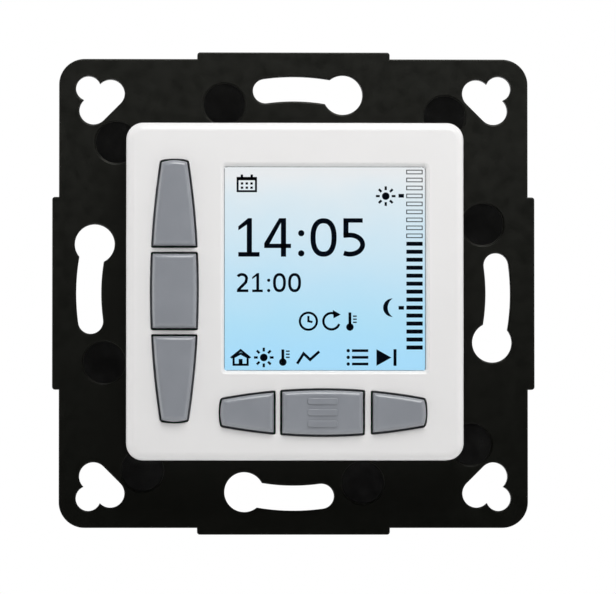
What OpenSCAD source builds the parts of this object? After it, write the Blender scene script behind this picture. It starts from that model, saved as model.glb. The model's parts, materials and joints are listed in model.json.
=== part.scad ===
// Flush-mounted programmable heating timer.
// +X is right and +Z is up as seen from the front. The front faces -Y.
// The origin is the centre of the mounting plate's rear face, which lies on the wall.

/* [Mounting plate] */
// Width of the plate between its side edges
plate_w = 69.4; // [68.5:0.1:70]
// Width of the plate over its side tabs
tab_span = 71.4; // [71:0.1:72.5]
// Length of each side tab
tab_w = 28.5; // [20:0.5:34]
// Thickness of the plate
plate_t = 2.2; // [2.2:0.1:3]
// Radius of the circle that the fixing slots follow
slot_circle_r = 30.3; // [30:0.05:30.5]
// Radius of the round entry of each slot, for a screw's head
slot_head_r = 2.95; // [2.8:0.05:3]
// Width of the slots
slot_w = 3.7; // [3.4:0.1:3.9]

/* [Rear housing] */
// Width and height of the housing
housing_w = 50; // [49.6:0.2:50.4]
// Diameter of the circle that cuts the housing's corners
housing_d = 57; // [56.6:0.2:57.6]
// Depth of the housing behind the wall's surface
housing_depth = 26; // [26:0.5:30]
// Thickness of the housing's walls
housing_wall = 1.6; // [1.5:0.05:1.7]

/* [Terminals] */
// Distance between neighbouring terminals
terminal_pitch = 6.4; // [6.3:0.1:6.5]
// Width of each wire entry
entry_w = 4.6; // [4.4:0.1:4.8]

/* [Front unit] */
// Width and height of the front unit
front_w = 49.5; // [49.2:0.1:49.8]
// Height of the front unit's face above the wall
front_y = 12; // [11.8:0.1:12.4]
// Radius of the front unit's corners
front_corner_r = 2.5; // [2:0.1:3]
// Radius of the rounded edge around the face
front_edge_r = 1.3; // [0.8:0.1:1.6]
// Thickness of the cover's side walls
cover_wall = 1.6; // [1.4:0.1:1.6]

/* [Display] */
// Width of the display window
window_w = 29.6; // [28:0.1:30]
// Height of the display window
window_h = 30; // [28:0.1:30]
// Radius of the curve by which the face turns down into the window
window_edge_r = 0.9; // [0.7:0.05:1]

/* [Keys] */
// Gap around each key
key_gap = 0.3; // [0.25:0.01:0.35]
// Height of the keys above the face
key_rise = 1.1; // [0.8:0.1:1.3]
// How far the keys' curved tops fall away towards their long sides
key_crown = 0.2; // [0.1:0.05:0.3]
// Height of the raised mark on the menu key
mark_rise = 0.15; // [0.1:0.05:0.2]

/* [Hidden] */
$fn = 64;
// Finer circles for the long, flat arcs of the key openings
arc_fn = 720;
// Overrun that lets a cut pass clean through a face
cut = 0.1;

// Depths from the wall's surface, front to back, as Y values
face_inner_y = 1.8 - front_y;
skirt_end_y = -plate_t - 0.3;
key_top_y = -front_y - key_rise;
lens_front_y = 0.7 - front_y;
lens_back_y = face_inner_y + 0.4;
cell_front_y = lens_back_y + 0.05;
cell_back_y = cell_front_y + 1.4;
guide_front_y = cell_back_y + 0.1;
front_pcb_y = face_inner_y + 3.6;
front_pcb_back_y = front_pcb_y + 1.6;
well_floor_y = 3.2;
well_back_y = 4.7;
power_pcb_y = 6;
power_pcb_back_y = 7.6;
housing_inner_y = housing_depth - housing_wall;

// How far the well and the front unit's plug lie inside the housing's outline
well_outside_inset = 2.5;
well_inset = 4;
plug_inset = 4.3;
plug_wall = 1.2;

// The four screws in the well's floor
screw_offset = 15.4;
screw_places = [for (sx = [-1, 1], sz = [-1, 1]) screw_offset * [sx, sz]];
boss_r = 2.4;
housing_screw_r = 1.1;

// Places on the face, as [x, z]
window_centre = [4.4, 3.35];
side_keys_x = -17.7;
row_keys_centre = [4.1, -17.8];
header_centre = [4, -12];

// A key opening is a lens shape between two long arcs, cut into three by narrow ribs
side_half_w = 3.57;
side_half_l = 19.45;
side_arc_r = 125.7;
row_half_w = 3.54;
row_half_l = 15.36;
row_arc_r = 80;
key_end_r = 6.5;
side_rib_edges = [[6.34, 19.5], [-5.74, 5.74], [-19.5, -6.34]];
row_rib_edges = [[-15.4, -6.96], [-6.29, 6.14], [6.99, 15.4]];
flange_side = 0.5;
crown_half_w = 3.5;
crown_r = (crown_half_w * crown_half_w + key_crown * key_crown) / (2 * key_crown);
key_centres = [[side_keys_x, 12.3], [side_keys_x, 0], [side_keys_x, -12.3],
               [-7.0, row_keys_centre[1]], [4.0, row_keys_centre[1]], [15.2, row_keys_centre[1]]];

// Terminals
terminal_xs = [for (i = [-1.5:1:1.5]) i * terminal_pitch];
terminal_z = -19.6;
block_w = 25.6;

// Relay
relay_centre = [-0.3, 15.6];

// Extrudes a shape, drawn with X right and Z up, between two Y values
module between(y_from, y_to) {
    translate([0, y_to, 0])
        rotate([90, 0, 0])
            linear_extrude(y_to - y_from)
                children();
}

// A box given by its lowest and highest corners
module box(low, high) {
    translate(low)
        cube(high - low);
}

// A round bar along Y
module bar_y(x, z, y_from, y_to, r) {
    between(y_from, y_to)
        translate([x, z])
            circle(r);
}

// A round bar along X
module bar_x(x_from, x_to, y, z, r) {
    translate([x_from, y, z])
        rotate([0, 90, 0])
            cylinder(h = x_to - x_from, r = r);
}

module rounded_rect(w, h, r) {
    square([w - 2 * r, h], center = true);
    square([w, h - 2 * r], center = true);
    for (sx = [-1, 1], sz = [-1, 1])
        translate([sx * (w / 2 - r), sz * (h / 2 - r)])
            circle(r);
}

// A slab whose vertical corners and front edge are both round
module soft_slab(w, corner_r, edge_r, y_front, y_back) {
    depth = y_back - y_front;
    translate([0, y_back, 0])
        rotate([90, 0, 0]) {
            for (sx = [-1, 1], sz = [-1, 1])
                translate([sx * (w / 2 - corner_r), sz * (w / 2 - corner_r), 0])
                    rotate_extrude()
                        soft_half_profile(corner_r, edge_r, depth);
            for (turn = [0, 90])
                rotate([0, 0, turn])
                    translate([w / 2 - corner_r, 0, 0])
                        rotate([90, 0, -90])
                            linear_extrude(w - 2 * corner_r)
                                soft_profile(w, edge_r, depth);
        }
}

module soft_half_profile(half_w, edge_r, depth) {
    square([half_w, depth - edge_r]);
    square([half_w - edge_r, depth]);
    intersection() {
        translate([half_w - edge_r, depth - edge_r])
            circle(edge_r);
        square([half_w, depth]);
    }
}

module soft_profile(w, edge_r, depth) {
    translate([-w / 2, 0])
        square([w, depth - edge_r]);
    translate([edge_r - w / 2, 0])
        square([w - 2 * edge_r, depth]);
    for (side = [-1, 1])
        translate([side * (w / 2 - edge_r), depth - edge_r])
            circle(edge_r);
}

// Repeats a shape at the four quarter turns
module quarter_turns() {
    for (turn = [0:90:270])
        rotate(turn)
            children();
}

// ---- Mounting plate ----

module plate_outline() {
    rounded_rect(plate_w, plate_w, 3.8);
    rounded_rect(tab_w, tab_span, 0.4);
    rounded_rect(tab_span, tab_w, 0.4);
}

// The slot at the top: a curved slot with a round entry at its right end
module keyhole_slot() {
    entry_angle = 90 - 13.9;
    end_angle = 90 + 7.9;
    reach = 2 * slot_circle_r;
    intersection() {
        difference() {
            circle(slot_circle_r + slot_w / 2, $fn = arc_fn);
            circle(slot_circle_r - slot_w / 2, $fn = arc_fn);
        }
        polygon([[0, 0], reach * [cos(entry_angle), sin(entry_angle)],
                 reach * [cos(end_angle), sin(end_angle)]]);
    }
    translate(slot_circle_r * [cos(end_angle), sin(end_angle)])
        circle(slot_w / 2);
    translate(slot_circle_r * [cos(entry_angle), sin(entry_angle)])
        circle(slot_head_r);
}

// The clover-shaped hole in the top right corner
module corner_hole() {
    tip = [30.35, 30.35];
    upper = [27.1, 29.6];
    lower = [29.6, 27.1];
    lobe_r = 2.1;
    inward = [-1, -1] * lobe_r / sqrt(2);
    translate(tip)
        circle(1.85);
    for (centre = [upper, lower])
        translate(centre)
            circle(lobe_r);
    polygon([upper + inward, upper, tip, lower, lower + inward]);
}

module recess_marks() {
    for (centre = [[-10.25, 28], [-26.2, 22.35]])
        translate(centre)
            circle(3.2);
}

module mounting_plate() {
    seat_depth = 0.6;
    color([0.12, 0.12, 0.115])
        difference() {
            union() {
                difference() {
                    between(-plate_t, 0)
                        plate_outline();
                    between(-seat_depth, cut)
                        housing_outline(0.1);
                }
                between(-plate_t, well_back_y)
                    housing_outline(-well_outside_inset);
                for (place = screw_places)
                    bar_y(place[0], place[1], well_back_y - cut, power_pcb_y, boss_r);
            }
            between(-plate_t - cut, well_floor_y)
                housing_outline(-well_inset);
            between(-plate_t - cut, cut)
                quarter_turns() {
                    keyhole_slot();
                    corner_hole();
                }
            between(-plate_t - cut, 0.5 - plate_t)
                quarter_turns()
                    recess_marks();
            between(well_floor_y - cut, well_back_y + cut)
                translate(header_centre)
                    square([14, 7], center = true);
            for (place = screw_places)
                translate([place[0], well_floor_y, place[1]])
                    rotate([-90, 0, 0]) {
                        cylinder(h = 4, r = housing_screw_r + 0.05);
                        cylinder(h = 1.1, r1 = 2.2, r2 = housing_screw_r + 0.05);
                    }
        }
}

// ---- Rear housing ----

module housing_outline(grow) {
    intersection() {
        square(housing_w + 2 * grow, center = true);
        circle(housing_d / 2 + grow, $fn = 180);
    }
}

module rear_housing() {
    seat_depth = 0.55;
    color([0.11, 0.11, 0.11])
        difference() {
            union() {
                difference() {
                    between(-seat_depth, housing_depth)
                        housing_outline(0);
                    between(-seat_depth - cut, housing_inner_y)
                        housing_outline(-housing_wall);
                }
                for (place = screw_places)
                    bar_y(place[0], place[1], power_pcb_back_y, housing_inner_y + cut, boss_r);
            }
            for (place = screw_places)
                bar_y(place[0], place[1], power_pcb_back_y - cut, 14, housing_screw_r + 0.05);
            for (x = terminal_xs) {
                box([x - entry_w / 2, 12.4, -housing_w / 2 - cut],
                    [x + entry_w / 2, 16.9, cut - housing_w / 2 + housing_wall]);
                bar_y(x, terminal_z, housing_inner_y - cut, housing_depth + cut, 1.7);
            }
        }
}

module housing_screws() {
    color([0.75, 0.75, 0.76])
        for (place = screw_places)
            translate([place[0], well_floor_y + 0.02, place[1]])
                rotate([-90, 0, 0])
                    difference() {
                        union() {
                            cylinder(h = 1.05, r1 = 2.1, r2 = housing_screw_r);
                            cylinder(h = 10.4, r = housing_screw_r);
                        }
                        for (turn = [0, 90])
                            rotate([0, 0, turn])
                                translate([-1.1, -0.2, -cut])
                                    cube([2.2, 0.4, 0.7]);
                    }
}

// ---- Power board ----

module power_pcb() {
    color([0.16, 0.42, 0.25])
        between(power_pcb_y, power_pcb_back_y)
            difference() {
                housing_outline(-housing_wall - 0.4);
                for (place = screw_places)
                    translate(place)
                        circle(housing_screw_r + 0.2);
            }
}

// Centres of the eight contacts, two rows of four
header_pitch = 2.54;
contact_places = [for (i = [-1.5:1:1.5], j = [-0.5, 0.5]) header_centre + header_pitch * [i, j]];
pin_r = 0.32;

module socket_header() {
    color([0.1, 0.1, 0.1])
        between(well_floor_y + 0.1, power_pcb_y)
            difference() {
                translate(header_centre)
                    square([10.6, 5.4], center = true);
                for (place = contact_places)
                    translate(place)
                        circle(0.45);
            }
}

// ---- Terminals ----

module terminal_block() {
    block_front_y = 10.8;
    color([0.22, 0.23, 0.24])
        difference() {
            box([-block_w / 2, block_front_y, housing_wall - housing_w / 2],
                [block_w / 2, housing_inner_y, -15.4]);
            for (x = terminal_xs) {
                box([x - 2.7, 12.4, -housing_w / 2], [x + 2.7, 20.9, -16.2]);
                bar_y(x, terminal_z, 20, 22.1, 1.3);
                bar_y(x, terminal_z, 22, housing_inner_y + cut, 2.15);
                box([x - 1.7, 16.1, -17], [x + 1.7, 17.1, -15]);
            }
        }
}

module terminal_busbars() {
    half_w = 1.6;
    color([0.78, 0.5, 0.3])
        for (x = terminal_xs) {
            box([x - half_w, 16.2, -22.4], [x + half_w, 17, -14.3]);
            box([x - half_w, power_pcb_back_y, -15.1], [x + half_w, 17, -14.3]);
        }
}

module terminal_screw(index) {
    x = terminal_xs[index];
    color([0.8, 0.8, 0.78])
        difference() {
            union() {
                bar_y(x, terminal_z, 17.05, 22.2, 1.2);
                bar_y(x, terminal_z, 22.15, 24.1, 2);
            }
            box([x - 2.1, 23, terminal_z - 0.3], [x + 2.1, 24.2, terminal_z + 0.3]);
        }
}

module clamp_cage(index) {
    x = terminal_xs[index];
    color([0.72, 0.72, 0.74])
        difference() {
            box([x - 2.5, 12.7, -22.4], [x + 2.5, 19, -16.8]);
            box([x - 1.8, 13.6, -23], [x + 1.8, 17.6, -16]);
            bar_y(x, terminal_z, 17, 19.1, 1.25);
        }
}

module terminal_screw_1() { terminal_screw(0); }
module terminal_screw_2() { terminal_screw(1); }
module terminal_screw_3() { terminal_screw(2); }
module terminal_screw_4() { terminal_screw(3); }
module clamp_cage_1() { clamp_cage(0); }
module clamp_cage_2() { clamp_cage(1); }
module clamp_cage_3() { clamp_cage(2); }
module clamp_cage_4() { clamp_cage(3); }

// ---- Relay, drawn about the axis of its core ----

module at_relay() {
    translate([relay_centre[0], 0, relay_centre[1]])
        children();
}

module relay_base() {
    color([0.15, 0.15, 0.16])
        at_relay()
            box([-11.4, power_pcb_back_y, -5.2], [7.9, 9, 5.2]);
}

module relay_bobbin() {
    color([0.85, 0.83, 0.78])
        at_relay()
            difference() {
                union() {
                    between(10, 10.7)
                        rounded_rect(8.8, 8.8, 1);
                    between(18, 18.7)
                        rounded_rect(8.8, 8.8, 1);
                    bar_y(0, 0, 10.6, 18.1, 2.3);
                }
                bar_y(0, 0, 9.9, 18.8, 1.65);
            }
}

module relay_winding() {
    color([0.72, 0.36, 0.16])
        at_relay()
            difference() {
                bar_y(0, 0, 10.72, 17.98, 4.1);
                bar_y(0, 0, 10.6, 18.1, 2.32);
            }
}

module relay_yoke() {
    color([0.62, 0.62, 0.6])
        at_relay() {
            box([-3.2, 9, -3.5], [7.2, 10, 3.5]);
            box([6.2, 9, -3.5], [7.2, 20, 3.5]);
            bar_y(0, 0, 9.9, 19.7, 1.6);
            bar_y(0, 0, 18.8, 19.7, 2.6);
        }
}

module relay_contacts() {
    color([0.78, 0.5, 0.3])
        at_relay() {
            // Lower contact, which closes when the coil is live
            box([-10.2, 9, -1.5], [-9.8, 19.35, 1.5]);
            box([-10.2, 18.95, -1.5], [-7.8, 19.35, 1.5]);
            bar_y(-8.8, 0, 19.3, 19.95, 0.8);
            // Upper contact, which is closed at rest
            box([-10.9, 9, -1.5], [-10.5, 22.8, 1.5]);
            box([-10.9, 22.4, -1.5], [-7.8, 22.8, 1.5]);
            bar_y(-8.8, 0, 21.95, 22.45, 0.8);
        }
}

module relay_cover() {
    color([0.2, 0.25, 0.35])
        at_relay()
            difference() {
                box([-12.2, 7.7, -5.9], [8.6, 23.8, 5.9]);
                box([-11.7, 7.5, -5.4], [8.1, 23.2, 5.4]);
            }
}

module relay_armature() {
    color([0.66, 0.66, 0.64])
        at_relay()
            difference() {
                box([-5, 20.05, -3.5], [7.2, 21, 3.5]);
                bar_y(-3.6, 0, 20, 21.1, 0.5);
            }
}

module relay_moving_spring() {
    color([0.8, 0.55, 0.3])
        at_relay() {
            box([-9.6, 21, -2], [4, 21.2, 2]);
            bar_y(-8.8, 0, 20.6, 21.9, 0.8);
        }
}

// ---- Power supply parts ----

module film_capacitor() {
    x = 9.5;
    z = 3.5;
    color([0.75, 0.6, 0.15]) {
        between(power_pcb_back_y + 0.3, 20.4)
            translate([x, z])
                rounded_rect(17.5, 6, 0.6);
        for (side = [-7.5, 7.5])
            bar_y(x + side, z, power_pcb_back_y, 8, 0.4);
    }
}

module smoothing_capacitor() {
    x = -8;
    z = 2.6;
    color([0.12, 0.14, 0.3])
        difference() {
            union() {
                bar_y(x, z, power_pcb_back_y + 0.2, 19.6, 4);
                for (side = [-1.25, 1.25])
                    bar_y(x + side, z, power_pcb_back_y, 8, 0.3);
            }
            translate([x, 9.4, z])
                rotate([90, 0, 0])
                    rotate_extrude()
                        translate([4.25, 0])
                            circle(0.45);
        }
}

module varistor() {
    x = -18.6;
    z = 3;
    color([0.2, 0.35, 0.65]) {
        bar_x(x - 1.9, x + 1.9, 13.2, z, 4.5);
        for (side = [-2.5, 2.5])
            bar_y(x, z + side, power_pcb_back_y, 12, 0.35);
    }
}

module fuse() {
    y = 10;
    z = -8;
    color([0.82, 0.84, 0.82]) {
        bar_x(-15.5, -7.5, y, z, 1.6);
        for (x = [-17, -8])
            bar_x(x, x + 2, y, z, 1.8);
        for (x = [-16, -7])
            bar_y(x, z, power_pcb_back_y, y, 0.35);
    }
}

module bridge_rectifier() {
    x = -0.5;
    z = -8;
    color([0.09, 0.09, 0.09]) {
        between(power_pcb_back_y + 0.4, 10.6)
            translate([x, z])
                square([8, 6.4], center = true);
        between(power_pcb_back_y, 9)
            for (sx = [-2.5, 2.5], sz = [-3.4, 3.4])
                translate([x + sx, z + sz])
                    square([0.9, 0.5], center = true);
    }
}

module fusible_resistor() {
    y = 10;
    z = -8.5;
    color([0.3, 0.5, 0.4]) {
        bar_x(8, 17, y, z, 1.7);
        for (x = [8, 16])
            bar_x(x, x + 1, y, z, 2);
        for (x = [8.5, 16.5])
            bar_y(x, z, power_pcb_back_y, y, 0.35);
    }
}

// ---- Front unit ----

module window_shape(grow) {
    translate(window_centre)
        rounded_rect(window_w + 2 * grow, window_h + 2 * grow, 0.4);
}

// The upright lens shape that three keys share
module key_lens(half_w, half_l, arc_r) {
    intersection() {
        translate([arc_r - half_w, 0])
            circle(arc_r, $fn = arc_fn);
        translate([half_w - arc_r, 0])
            circle(arc_r, $fn = arc_fn);
        union() {
            square([2 * half_w, 2 * (half_l - key_end_r)], center = true);
            for (side = [-1, 1])
                translate([0, side * (half_l - key_end_r)])
                    circle(key_end_r, $fn = 180);
        }
    }
}

// One side key's shape: the lens between two heights, widened where it has a flange
module side_key_shape(index, shrink, flange) {
    edges = side_rib_edges[index];
    translate([side_keys_x, 0])
        intersection() {
            key_lens(side_half_w - shrink + flange, side_half_l - shrink, side_arc_r);
            translate([-10, edges[0] + shrink])
                square([20, edges[1] - edges[0] - 2 * shrink]);
        }
}

// One row key's shape: the lens on its side, between two widths
module row_key_shape(index, shrink, flange) {
    edges = row_rib_edges[index];
    translate(row_keys_centre)
        intersection() {
            rotate(90)
                key_lens(row_half_w - shrink + flange, row_half_l - shrink, row_arc_r);
            translate([edges[0] + shrink, -10])
                square([edges[1] - edges[0] - 2 * shrink, 20]);
        }
}

// The cut that rounds the window's edge, seen along the window's side
module flare_profile(half_w) {
    round_centre = 0.95 * window_edge_r;
    difference() {
        translate([-half_w - round_centre, -front_y - cut])
            square([2 * (half_w + round_centre), round_centre + cut]);
        for (side = [-1, 1])
            translate([side * (half_w + round_centre), round_centre - front_y])
                circle(window_edge_r);
    }
}

module window_flare() {
    span_x = window_w + 2 * window_edge_r;
    span_z = window_h + 2 * window_edge_r;
    translate([window_centre[0], 0, window_centre[1]])
        intersection() {
            translate([0, 0, -span_z / 2])
                linear_extrude(span_z)
                    flare_profile(window_w / 2);
            translate([span_x / 2, 0, 0])
                rotate([0, -90, 0])
                    linear_extrude(span_x)
                        flare_profile(window_h / 2);
        }
}

snap_places = [for (turn = [0:90:270], side = [-12, 12]) [turn, side]];

module front_cover() {
    inner_w = front_w - 2 * cover_wall;
    color([0.9, 0.9, 0.89])
        difference() {
            soft_slab(front_w, front_corner_r, front_edge_r, -front_y, skirt_end_y);
            between(face_inner_y, skirt_end_y + cut)
                rounded_rect(inner_w, inner_w, 1.2);
            between(-front_y - cut, face_inner_y + cut) {
                window_shape(0);
                for (index = [0:2]) {
                    side_key_shape(index, 0, 0);
                    row_key_shape(index, 0, 0);
                }
            }
            window_flare();
            for (place = snap_places)
                rotate([0, place[0], 0])
                    box([inner_w / 2 - cut, -4.1, place[1] - 2.6],
                        [inner_w / 2 + 0.35, -2.95, place[1] + 2.6]);
        }
}

module display_window() {
    color([0.85, 0.93, 0.97, 0.4]) {
        between(lens_front_y, face_inner_y)
            window_shape(-0.1);
        between(face_inner_y, lens_back_y)
            window_shape(0.7);
    }
}

// The cell reaches further above the window, where its contacts are
cell_centre = window_centre + [0, 0.7];
cell_w = window_w + 1.6;
cell_h = window_h + 3;

module lcd_cell() {
    color([0.72, 0.87, 0.95])
        between(cell_front_y, cell_back_y)
            translate(cell_centre)
                square([cell_w, cell_h], center = true);
}

module lcd_frame() {
    color([0.93, 0.93, 0.91])
        difference() {
            between(cell_front_y, front_pcb_y)
                translate(cell_centre)
                    rounded_rect(cell_w + 1.6, cell_h + 1.6, 0.6);
            between(cell_front_y - cut, cell_back_y + 0.02)
                translate(cell_centre)
                    square([cell_w + 0.1, cell_h + 0.1], center = true);
            between(cell_back_y, front_pcb_y + cut) {
                translate(window_centre + [0, -0.3])
                    square([window_w + 0.4, window_h - 0.4], center = true);
                translate([cell_centre[0], cell_centre[1] + cell_h / 2 - 0.95])
                    square([cell_w - 0.8, 1.5], center = true);
            }
        }
}

module light_guide() {
    left_x = window_centre[0] - window_w / 2 + 1.3;
    right_x = window_centre[0] + window_w / 2;
    half_h = window_h / 2 - 0.6;
    color([0.9, 0.95, 0.98])
        box([left_x, guide_front_y, window_centre[1] - 0.3 - half_h],
            [right_x, guide_front_y + 1.2, window_centre[1] - 0.3 + half_h]);
}

module backlight_leds() {
    x = window_centre[0] - window_w / 2;
    color([0.95, 0.93, 0.75])
        for (z = [-4, 10])
            box([x, front_pcb_y - 1.1, z - 1.5], [x + 1.2, front_pcb_y, z + 1.5]);
}

module zebra_strip() {
    z = cell_centre[1] + cell_h / 2 - 0.95;
    color([0.75, 0.45, 0.4])
        box([cell_centre[0] - cell_w / 2 + 0.6, cell_back_y, z - 0.6],
            [cell_centre[0] + cell_w / 2 - 0.6, front_pcb_y, z + 0.6]);
}

module front_pcb() {
    color([0.16, 0.42, 0.25])
        between(front_pcb_y, front_pcb_back_y)
            rounded_rect(45.6, 45.6, 1);
}

module microcontroller() {
    x = 8;
    z = 8;
    half = 5;
    color([0.08, 0.08, 0.09]) {
        between(front_pcb_back_y + 0.1, front_pcb_back_y + 1.5)
            translate([x, z])
                square(2 * half, center = true);
        between(front_pcb_back_y, front_pcb_back_y + 0.25)
            translate([x, z])
                quarter_turns()
                    for (i = [-4:0.8:4])
                        translate([half - 0.2, i - 0.18])
                            square([1.2, 0.36]);
    }
}

module clock_crystal() {
    color([0.8, 0.8, 0.8]) {
        bar_x(4, 10, front_pcb_back_y + 1, -3, 1);
        bar_x(10, 11.2, front_pcb_back_y + 1, -3.35, 0.15);
        bar_x(10, 11.2, front_pcb_back_y + 1, -2.65, 0.15);
    }
}

module backup_cell() {
    color([0.82, 0.82, 0.8]) {
        bar_y(-9.5, 8, front_pcb_back_y + 0.4, front_pcb_back_y + 3.4, 7.6);
        bar_y(-9.5, 8, front_pcb_back_y, front_pcb_back_y + 0.4, 6.6);
    }
}

module cell_clip() {
    top_y = front_pcb_back_y + 3.45;
    color([0.7, 0.68, 0.6])
        union() {
            box([-11.5, top_y, -1], [-7.5, top_y + 0.4, 17]);
            box([-11.5, front_pcb_back_y, 16.6], [-7.5, top_y + 0.4, 17]);
            box([-11.5, front_pcb_back_y, -1], [-7.5, top_y + 0.4, -0.6]);
        }
}

switch_body_y = front_pcb_y - 1.8;
plunger_front_y = -9;

module switch_bodies() {
    color([0.13, 0.13, 0.14])
        difference() {
            between(switch_body_y, front_pcb_y)
                for (place = key_centres)
                    translate(place)
                        square(4.4, center = true);
            for (place = key_centres)
                bar_y(place[0], place[1], switch_body_y - cut, front_pcb_y - 0.5, 1.05);
        }
}

module switch_plunger(index) {
    place = key_centres[index];
    color([0.75, 0.2, 0.15])
        bar_y(place[0], place[1], plunger_front_y, front_pcb_y - 1.1, 1);
}

module pin_header() {
    color([0.1, 0.1, 0.1]) {
        between(front_pcb_back_y, front_pcb_back_y + 2.5)
            translate(header_centre)
                square([10.2, 5.1], center = true);
        for (place = contact_places)
            bar_y(place[0], place[1], front_pcb_back_y + 2.4, 5.5, pin_r);
    }
}

module back_shell() {
    flange_w = front_w - 2 * cover_wall - 0.4;
    floor_y = well_floor_y - 0.3;
    color([0.14, 0.14, 0.14])
        difference() {
            union() {
                between(-4.1, -2.9)
                    rounded_rect(flange_w, flange_w, 1);
                between(-4.1, floor_y)
                    housing_outline(-plug_inset);
                for (sx = [-1, 1], sz = [-1, 1])
                    bar_y(sx * 21, sz * 21, front_pcb_back_y, -4, 1);
                for (place = snap_places)
                    rotate([0, place[0], 0])
                        box([flange_w / 2 - cut, -4, place[1] - 2.5],
                            [flange_w / 2 + 0.45, -3.1, place[1] + 2.5]);
            }
            between(-4.2, floor_y - plug_wall)
                housing_outline(-plug_inset - plug_wall);
            between(floor_y - plug_wall - cut, floor_y + cut)
                translate(header_centre)
                    square([9.6, 4.6], center = true);
        }
}

// ---- Keys ----

key_flange_front_y = face_inner_y + 0.1;
key_flange_back_y = key_flange_front_y + 0.8;
key_stem_r = 1.2;
key_grey = [0.52, 0.54, 0.56];

// Curves a key's top across its width, along a line turned from upright
module crowned(place, turn) {
    intersection() {
        children();
        translate([place[0], key_top_y + crown_r, place[1]])
            rotate([0, turn, 0])
                cylinder(h = 40, r = crown_r, center = true, $fn = 360);
    }
}

module side_key(index) {
    color(key_grey)
        union() {
            crowned(key_centres[index], 0)
                between(key_top_y - cut, key_flange_back_y)
                    side_key_shape(index, key_gap, 0);
            between(key_flange_front_y, key_flange_back_y)
                side_key_shape(index, key_gap, flange_side);
            key_stem(index);
        }
}

module row_key(index) {
    color(key_grey)
        union() {
            crowned(key_centres[index + 3], 90)
                between(key_top_y - cut, key_flange_back_y)
                    row_key_shape(index, key_gap, 0);
            between(key_flange_front_y, key_flange_back_y)
                row_key_shape(index, key_gap, flange_side);
            key_stem(index + 3);
        }
}

// Three raised bars that mark the menu key
module menu_mark() {
    color(key_grey)
        between(key_top_y - mark_rise, key_top_y + 0.3)
            for (row = [-1:1])
                translate(key_centres[4] + [0, 1.65 * row])
                    rounded_rect(4.4, 0.95, 0.3);
}

module key_stem(index) {
    place = key_centres[index];
    bar_y(place[0], place[1], key_flange_back_y - cut, plunger_front_y, key_stem_r);
}

module key_side_top() { side_key(0); }
module key_side_middle() { side_key(1); }
module key_side_bottom() { side_key(2); }
module key_row_left() { row_key(0); }
module key_row_right() { row_key(2); }
module key_row_middle() {
    union() {
        row_key(1);
        menu_mark();
    }
}
module switch_plunger_1() { switch_plunger(0); }
module switch_plunger_2() { switch_plunger(1); }
module switch_plunger_3() { switch_plunger(2); }
module switch_plunger_4() { switch_plunger(3); }
module switch_plunger_5() { switch_plunger(4); }
module switch_plunger_6() { switch_plunger(5); }

mounting_plate();
rear_housing();
housing_screws();
power_pcb();
socket_header();
terminal_block();
terminal_busbars();
terminal_screw_1();
terminal_screw_2();
terminal_screw_3();
terminal_screw_4();
clamp_cage_1();
clamp_cage_2();
clamp_cage_3();
clamp_cage_4();
relay_base();
relay_bobbin();
relay_winding();
relay_yoke();
relay_contacts();
relay_cover();
relay_armature();
relay_moving_spring();
film_capacitor();
smoothing_capacitor();
varistor();
fuse();
bridge_rectifier();
fusible_resistor();
front_cover();
display_window();
lcd_cell();
lcd_frame();
light_guide();
backlight_leds();
zebra_strip();
front_pcb();
microcontroller();
clock_crystal();
backup_cell();
cell_clip();
switch_bodies();
pin_header();
back_shell();
key_side_top();
key_side_middle();
key_side_bottom();
key_row_left();
key_row_middle();
key_row_right();
switch_plunger_1();
switch_plunger_2();
switch_plunger_3();
switch_plunger_4();
switch_plunger_5();
switch_plunger_6();
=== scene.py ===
import json
import math

import bmesh
import bpy
import numpy as np
from mathutils import Matrix, Vector
from mathutils.geometry import delaunay_2d_cdt


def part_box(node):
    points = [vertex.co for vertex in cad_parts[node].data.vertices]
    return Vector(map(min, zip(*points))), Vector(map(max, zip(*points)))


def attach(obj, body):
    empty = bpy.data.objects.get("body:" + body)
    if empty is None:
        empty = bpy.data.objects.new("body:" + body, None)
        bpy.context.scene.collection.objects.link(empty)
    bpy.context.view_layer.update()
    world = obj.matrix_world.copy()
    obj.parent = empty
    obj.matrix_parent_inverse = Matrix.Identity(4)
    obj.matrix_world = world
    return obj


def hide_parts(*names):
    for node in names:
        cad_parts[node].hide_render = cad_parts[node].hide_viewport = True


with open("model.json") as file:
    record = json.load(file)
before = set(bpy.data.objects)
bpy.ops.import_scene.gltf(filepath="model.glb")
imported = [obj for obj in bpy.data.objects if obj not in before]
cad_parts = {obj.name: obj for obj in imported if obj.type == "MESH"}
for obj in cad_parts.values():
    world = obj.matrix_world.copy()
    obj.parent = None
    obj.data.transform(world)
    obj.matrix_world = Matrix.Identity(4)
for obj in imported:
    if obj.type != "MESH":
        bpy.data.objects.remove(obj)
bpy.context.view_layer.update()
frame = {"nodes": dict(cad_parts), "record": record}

MM = 0.001
FULL_TURN = 2 * math.pi
QUARTER_TURNS = (0, 90, 180, 270)
AXIS_X, AXIS_Z = 0, 2
TRIANGLES_INSIDE = 1
USUAL_CREASE = 35
USUAL_BEVEL = 0.08


# ---- Places, in millimetres, taken from the CAD nodes ----

def node_box(*nodes):
    """Lowest and highest corner of one or more CAD nodes, in millimetres."""
    lows, highs = zip(*(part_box(n) for n in nodes))
    low = np.min([np.array(v) for v in lows], axis=0) / MM
    high = np.max([np.array(v) for v in highs], axis=0) / MM
    return low, high


def node_middle(*nodes):
    """The (x, z) middle of one or more CAD nodes."""
    low, high = node_box(*nodes)
    return ((low[0] + high[0]) / 2, (low[2] + high[2]) / 2)


COVER_LOW, COVER_HIGH = node_box("front_cover")
PLATE_LOW, PLATE_HIGH = node_box("mounting_plate")
LENS_LOW, LENS_HIGH = node_box("display_window")
CELL_LOW, CELL_HIGH = node_box("lcd_cell")
FACE_Y = COVER_LOW[1]
FRONT_W = COVER_HIGH[0] - COVER_LOW[0]

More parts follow.
